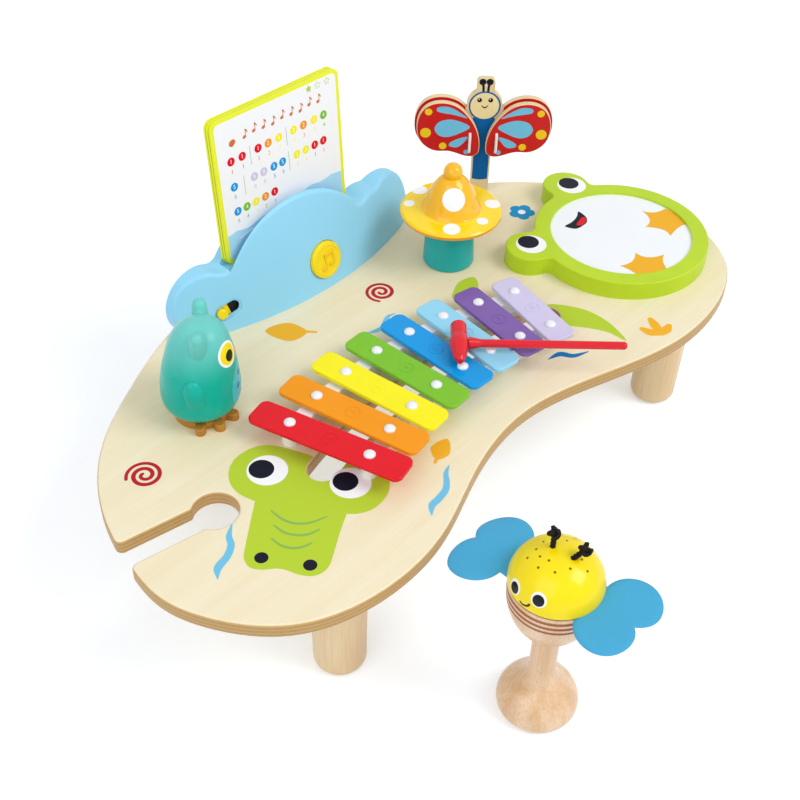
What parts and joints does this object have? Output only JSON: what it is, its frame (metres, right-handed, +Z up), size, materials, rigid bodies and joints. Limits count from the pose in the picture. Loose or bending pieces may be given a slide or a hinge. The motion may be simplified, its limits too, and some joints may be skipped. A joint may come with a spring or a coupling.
{
  "type": "musical activity table",
  "caption": "Low kidney-shaped wooden toy table with a metallophone and mallet, drum, spinning mushroom, butterfly clapper, music console with song cards, owl and bee rattle.",
  "frame": {"origin": "middle of the whole object's footprint box, on the floor", "axes": "+X along the table to the player's right, +Y away from the player, +Z up"},
  "size_m": [0.5926, 0.4598, 0.2866],
  "materials": {
    "bar_blue": "gloss enamel",
    "bar_green": "gloss enamel",
    "bar_lilac": "gloss enamel",
    "bar_orange": "gloss enamel",
    "bar_purple": "gloss enamel",
    "bar_red": "gloss enamel",
    "bar_sky": "gloss enamel",
    "bar_yellow": "gloss enamel",
    "battery": "wrapped",
    "bead": "plain",
    "bee_dome": "satin paint",
    "bee_handle": "clear lacquer",
    "board": "clear lacquer and paint",
    "bush": "plain",
    "button": "gloss",
    "cap": "satin paint",
    "card": "laminated board",
    "console": "soft texture",
    "cord": "woven elastic",
    "drum_frame": "satin paint",
    "drum_hoop": "bare",
    "drum_skin": "coated film",
    "felt": "wool felt",
    "knot": "waxed cord",
    "leg": "clear satin lacquer",
    "mallet_handle": "gloss paint",
    "mallet_head": "gloss paint",
    "owl": "satin paint",
    "owl_feet": "stained",
    "pcb": "solder mask",
    "pin": "polished",
    "rail": "clear satin lacquer",
    "speaker": "moulded",
    "steel": "zinc plated",
    "stem": "satin paint",
    "switch_body": "moulded",
    "table_top": "clear satin lacquer",
    "washer": "soft",
    "wing": "satin paint"
  },
  "bodies": {
    "table": {"table_top": "table_top", "leg_front_left": "leg", "leg_front_right": "leg", "leg_back_left": "leg", "leg_back_right": "leg", "leg_studs": "steel", "leg_inserts": "steel", "wood_screws": "steel", "rail_back": "rail", "rail_front": "rail", "bar_red": "bar_red", "bar_orange": "bar_orange", "bar_yellow": "bar_yellow", "bar_green": "bar_green", "bar_blue": "bar_blue", "bar_sky": "bar_sky", "bar_purple": "bar_purple", "bar_lilac": "bar_lilac", "bar_pins": "pin", "bar_washers": "washer", "drum_frame": "drum_frame", "drum_skin": "drum_skin", "drum_hoop": "drum_hoop", "mushroom_stem": "stem", "mushroom_spindle": "steel", "butterfly_board": "board", "console_shell": "console", "console_back": "console", "button_spring": "steel", "console_pcb": "pcb", "switch_body": "switch_body", "console_speaker": "speaker", "battery_box": "switch_body", "batteries": "battery", "battery_cover": "console", "console_screws": "steel", "owl_feet": "owl_feet", "owl_spindle": "steel", "owl_screws": "steel"},
    "mallet": {"mallet_head": "mallet_head", "mallet_handle": "mallet_handle"},
    "mushroom_top": {"mushroom_cap": "cap", "mushroom_knob": "cap", "mushroom_bush": "bush"},
    "wing_left": {"butterfly_wing_left": "wing", "butterfly_loop_left": "cord"},
    "wing_right": {"butterfly_wing_right": "wing", "butterfly_loop_right": "cord"},
    "button": {"console_button": "button"},
    "switch": {"switch_knob": "button"},
    "song_card_front": {"card_front": "card"},
    "song_card_middle": {"card_middle": "card"},
    "song_card_back": {"card_back": "card"},
    "owl": {"owl_body": "owl"},
    "bee_rattle": {"bee_handle": "bee_handle", "bee_dome": "bee_dome", "bee_wings": "felt", "bee_antennae": "knot", "bee_beads": "bead"}
  },
  "joints": [
    {"name": "mallet_lift", "type": "slide", "parent": "table", "child": "mallet", "axis": [0, 0, 1], "range_m": [0, 0.15]},
    {"name": "mushroom_spin", "type": "hinge", "parent": "table", "child": "mushroom_top", "pos_m": [0.09823, 0.1209, 0.166], "axis": [0, 0, 1], "continuous": true},
    {"name": "owl_turn", "type": "hinge", "parent": "table", "child": "owl", "pos_m": [-0.16787, 0.1199, 0.126], "axis": [0, 0, 1], "continuous": true},
    {"name": "wing_left_clap", "type": "hinge", "parent": "table", "child": "wing_left", "pos_m": [0.18496, 0.17835, 0.1658], "axis": [0, 0, 1], "range_deg": [-2, 11], "stiffness_Nm_per_rad": 0.02},
    {"name": "wing_right_clap", "type": "hinge", "parent": "table", "child": "wing_right", "pos_m": [0.20107, 0.16166, 0.1658], "axis": [0, 0, -1], "range_deg": [-2, 11], "stiffness_Nm_per_rad": 0.02},
    {"name": "button_press", "type": "slide", "parent": "table", "child": "button", "axis": [-0.0222, 0.97, -0.2419], "range_m": [0, 0.0025], "stiffness_N_per_m": 400, "springref_m": -0.001, "deforming": ["button_spring"]},
    {"name": "switch_slide", "type": "slide", "parent": "table", "child": "switch", "axis": [0.9342, -0.2163, 0.2837], "range_m": [0, 0.011]},
    {"name": "card_front_lift", "type": "slide", "parent": "table", "child": "song_card_front", "axis": [0, 0.0645, 0.9979], "range_m": [0, 0.12]},
    {"name": "card_middle_lift", "type": "slide", "parent": "table", "child": "song_card_middle", "axis": [0, 0.0645, 0.9979], "range_m": [0, 0.12]},
    {"name": "card_back_lift", "type": "slide", "parent": "table", "child": "song_card_back", "axis": [0, 0.0645, 0.9979], "range_m": [0, 0.12]},
    {"name": "bee_lift", "type": "slide", "parent": "table", "child": "bee_rattle", "axis": [0, 0, 1], "range_m": [0, 0.2]}
  ]
}
